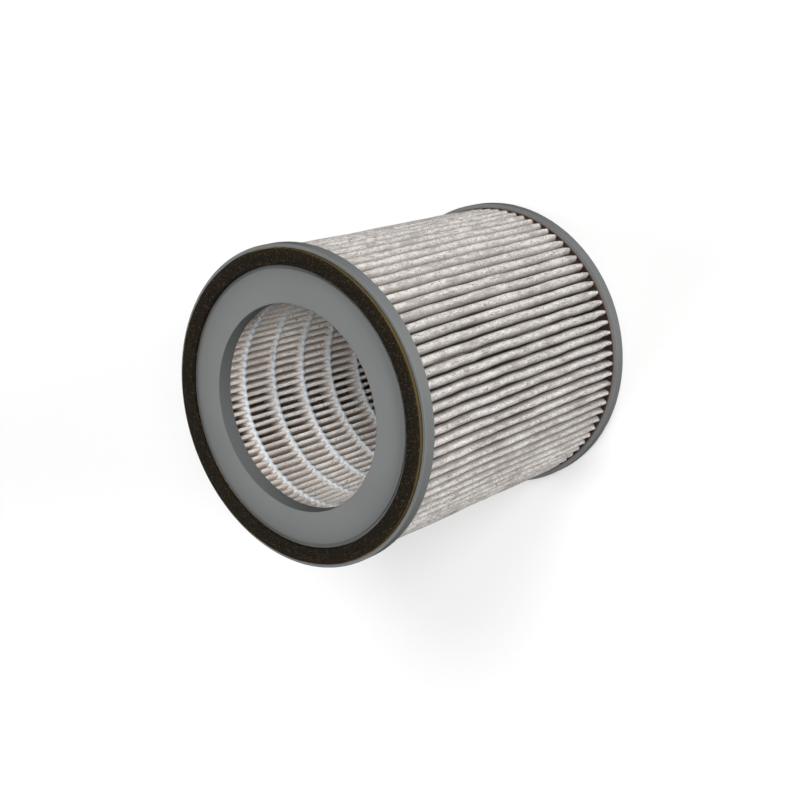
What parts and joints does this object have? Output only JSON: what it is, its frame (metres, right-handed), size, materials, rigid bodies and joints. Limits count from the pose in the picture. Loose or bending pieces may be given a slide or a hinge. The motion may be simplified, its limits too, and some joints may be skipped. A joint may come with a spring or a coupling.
{
  "type": "air purifier filter",
  "caption": "Round air purifier filter: a ring of pleated grey fleece between two moulded end caps, open at the gasketed front and closed at the rear.",
  "frame": {"origin": "centre of the rear cap's rest face, on the filter's axis", "axes": "+Z along the filter's axis, from the closed rear cap to the open front cap with its gasket; +X towards the seam of the fleece, the side that the picture doesn't show"},
  "size_m": [0.185, 0.185, 0.2012],
  "materials": {
    "cap_plastic": "smooth mid-grey moulded plastic, satin",
    "gasket_foam": "brown-black open-cell foam",
    "film_adhesive": "thin golden-brown adhesive film",
    "carbon_fleece": "light warm grey felt-like fleece with fine dark carbon specks",
    "hot_melt": "bluish-white translucent hot-melt adhesive",
    "potting": "cast tan potting adhesive"
  },
  "bodies": {
    "root": {"front_end_cap": "cap_plastic", "rear_end_cap": "cap_plastic", "foam_gasket": "gasket_foam", "gasket_film": "film_adhesive", "pleated_media": "carbon_fleece", "separator_beads": "hot_melt", "front_potting": "potting", "rear_potting": "potting", "seam_bond": "hot_melt"}
  },
  "joints": []
}
